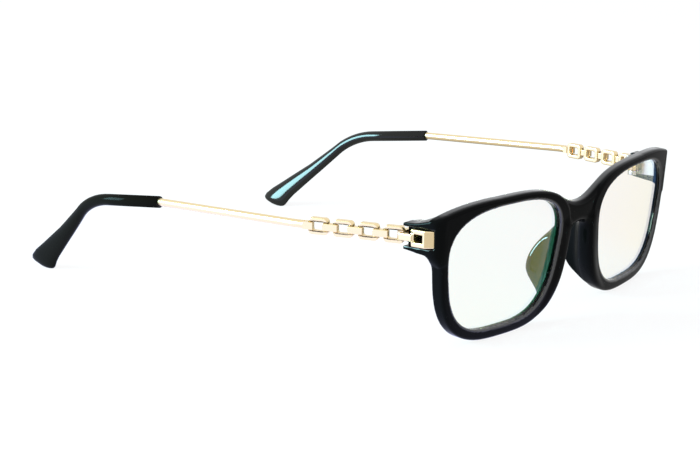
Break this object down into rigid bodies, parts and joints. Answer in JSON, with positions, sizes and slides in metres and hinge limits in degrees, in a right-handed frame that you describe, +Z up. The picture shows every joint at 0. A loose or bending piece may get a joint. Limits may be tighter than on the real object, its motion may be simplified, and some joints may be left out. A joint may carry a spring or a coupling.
{
  "type": "glasses",
  "caption": "Clear-lens glasses: a glossy black moulded front with moulded nose pads, chain-link metal temples that fold on hinges at the corners, and black ear tips.",
  "frame": {"origin": "on the table under the middle of the part's box", "axes": "+Z up, the front faces -Y, the open temples run to +Y, +X is the wearer's left"},
  "size_m": [0.1352, 0.1544, 0.0377],
  "materials": {
    "front_black": "polished black moulding",
    "lens_clear": "clear with a faint green coating sheen",
    "plated_gold": "polished pale gold plating",
    "hinge_steel": "bright rolled hinge metal",
    "tip_black": "satin-gloss black sleeve"
  },
  "bodies": {
    "front": {"front_frame": "front_black", "lens_left": "lens_clear", "lens_right": "lens_clear", "pad_left": "front_black", "pad_right": "front_black", "plate_left": "plated_gold", "plate_right": "plated_gold", "leaf_left": "hinge_steel", "leaf_right": "hinge_steel", "rivets_left": "hinge_steel", "rivets_right": "hinge_steel", "screw_left": "hinge_steel", "screw_right": "hinge_steel"},
    "temple_left": {"knuckle_left": "plated_gold", "link_left_1": "plated_gold", "link_left_2": "plated_gold", "link_left_3": "plated_gold", "link_left_4": "plated_gold", "joiner_left_1": "plated_gold", "joiner_left_2": "plated_gold", "joiner_left_3": "plated_gold", "rod_left": "plated_gold", "tip_left": "tip_black"},
    "temple_right": {"knuckle_right": "plated_gold", "link_right_1": "plated_gold", "link_right_2": "plated_gold", "link_right_3": "plated_gold", "link_right_4": "plated_gold", "joiner_right_1": "plated_gold", "joiner_right_2": "plated_gold", "joiner_right_3": "plated_gold", "rod_right": "plated_gold", "tip_right": "tip_black"}
  },
  "joints": [
    {"name": "left_temple_fold", "type": "hinge", "parent": "front", "child": "temple_left", "pos_m": [0.0553, -0.06125, 0.03], "axis": [0, 0, 1], "range_deg": [0, 93]},
    {"name": "right_temple_fold", "type": "hinge", "parent": "front", "child": "temple_right", "pos_m": [-0.0553, -0.06125, 0.03], "axis": [0, 0, -1], "range_deg": [0, 83]}
  ]
}
